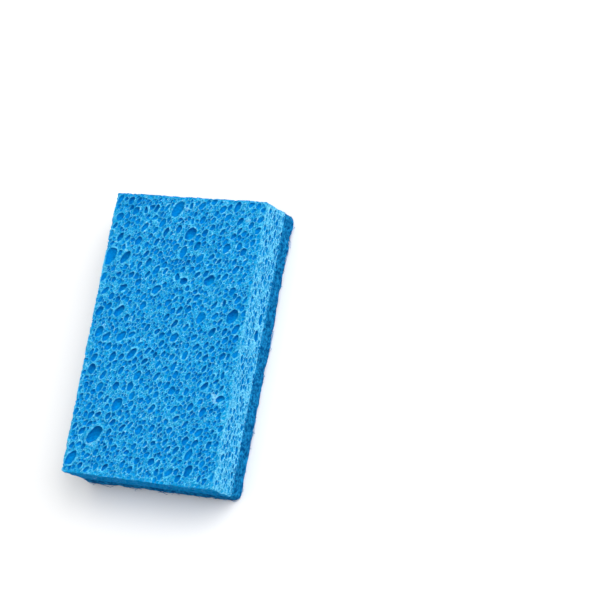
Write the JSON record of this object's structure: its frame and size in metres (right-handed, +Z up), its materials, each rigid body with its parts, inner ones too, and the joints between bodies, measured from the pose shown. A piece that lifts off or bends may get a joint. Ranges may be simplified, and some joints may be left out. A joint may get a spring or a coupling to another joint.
{
  "type": "cleaning sponge",
  "caption": "Rectangular cleaning sponge: a porous cellulose block bonded face to face on a fibre scouring pad, with open oval pores that run aslant.",
  "frame": {"origin": "centre of the scouring pad's underside, which is the bottom centre of the whole sponge's box", "axes": "+Z up through the thickness, out of the cellulose face; X along the width; Y along the length"},
  "size_m": [0.07, 0.114, 0.022],
  "materials": {
    "cellulose": "matt, finely porous",
    "scouring_fibre": "matt fibre web"
  },
  "bodies": {
    "root": {"cellulose_block": "cellulose", "scour_pad": "scouring_fibre"}
  },
  "joints": []
}
